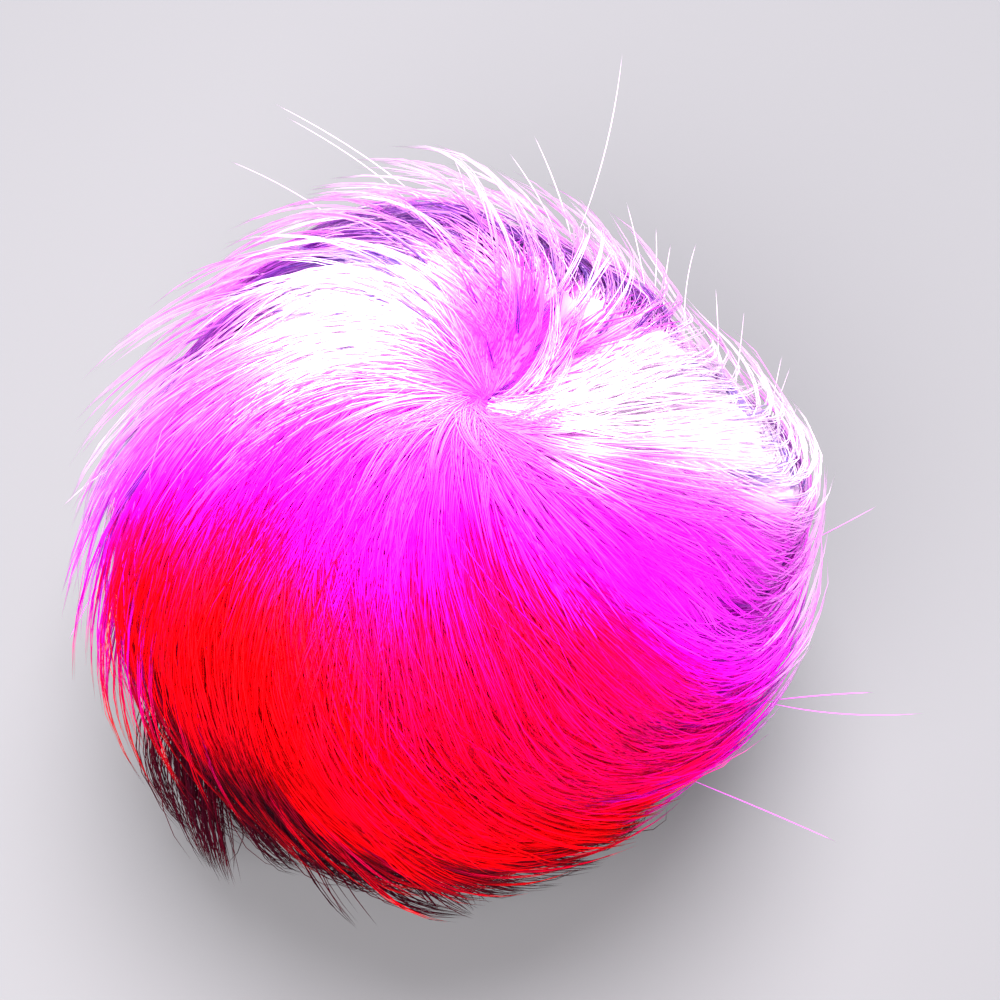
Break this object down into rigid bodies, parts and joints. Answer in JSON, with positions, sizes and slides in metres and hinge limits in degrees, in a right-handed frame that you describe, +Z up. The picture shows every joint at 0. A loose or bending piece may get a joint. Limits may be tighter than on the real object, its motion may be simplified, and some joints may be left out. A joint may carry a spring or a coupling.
{
  "type": "fur pom pom",
  "caption": "Long-haired fur pom pom, combed in a spiral whorl from its crown, resting on a small flat spot.",
  "frame": {"origin": "middle of the ball's outline, at the flat spot that it rests on", "axes": "+Z up through the crown of the whorl; +X across the widest side, with the crown leaning 4 mm towards it; +Y to the back"},
  "size_m": [0.1208, 0.1178, 0.094],
  "materials": {
    "dyed_fur": "long glossy dyed fur, hot pink, deeper at the roots and paler at the tips"
  },
  "bodies": {
    "root": {"fur_ball": "dyed_fur"}
  },
  "joints": []
}
